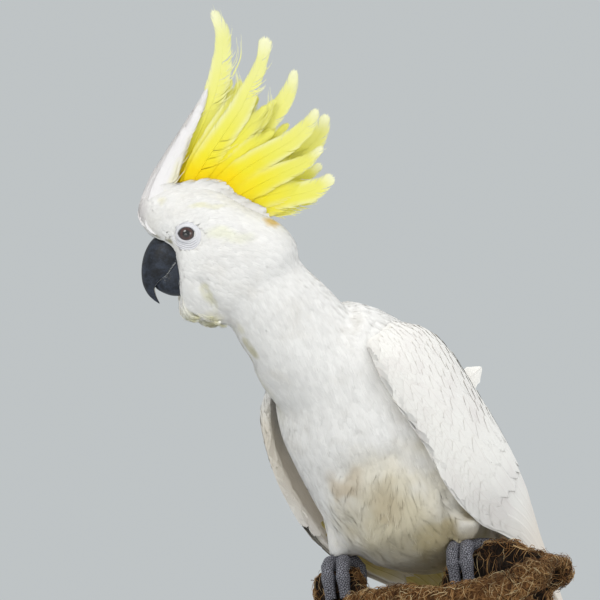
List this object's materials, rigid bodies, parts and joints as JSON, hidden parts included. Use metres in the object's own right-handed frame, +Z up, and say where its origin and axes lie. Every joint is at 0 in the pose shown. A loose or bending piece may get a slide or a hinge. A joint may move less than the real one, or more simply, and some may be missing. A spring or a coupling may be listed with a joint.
{
  "type": "sulphur-crested cockatoo display model",
  "caption": "Life-size still model of a white cockatoo with its yellow crest raised, gripping a broken palm stem on a two-rod display stand.",
  "frame": {"origin": "middle of the underside of the display base", "axes": "+Z up, the head faces -X and the base's long side is along X"},
  "size_m": [0.35, 0.21, 0.5211],
  "materials": {
    "plumage": "soft white body feathers, cream on the belly",
    "wing": "firm white wing and tail feathers with fine vanes",
    "crest": "yellow plumes, paler at their tips, the front ones white",
    "bill": "slate-black horn with a dusty bloom and fine scratches",
    "eye": "glossy dark red-brown eye with a black pupil",
    "foot": "grey skin of small raised scales",
    "claw": "dark horn claws",
    "fibre": "brown matted palm fibre with loose strands",
    "base": "oiled dark wood with a soft edge",
    "rod": "plain satin steel rod"
  },
  "bodies": {
    "root": {"back_feather": "wing", "bill_lower": "bill", "bill_upper": "bill", "claw_left_1": "claw", "claw_left_2": "claw", "claw_left_3": "claw", "claw_left_4": "claw", "claw_right_1": "claw", "claw_right_2": "claw", "claw_right_3": "claw", "claw_right_4": "claw", "crest_1": "crest", "crest_2": "crest", "crest_3": "crest", "crest_4": "crest", "crest_5": "crest", "crest_6": "crest", "crest_7": "crest", "crest_8": "crest", "eye_left": "eye", "eye_right": "eye", "foot_left": "foot", "foot_right": "foot", "head": "plumage", "leg_left": "plumage", "leg_right": "plumage", "neck": "plumage", "perch": "fibre", "stand_base": "base", "stand_rod_1": "rod", "stand_rod_2": "rod", "tail": "wing", "toe_left_1": "foot", "toe_left_2": "foot", "toe_left_3": "foot", "toe_left_4": "foot", "toe_right_1": "foot", "toe_right_2": "foot", "toe_right_3": "foot", "toe_right_4": "foot", "trunk": "plumage", "wing_left": "wing", "wing_right": "wing"}
  },
  "joints": []
}
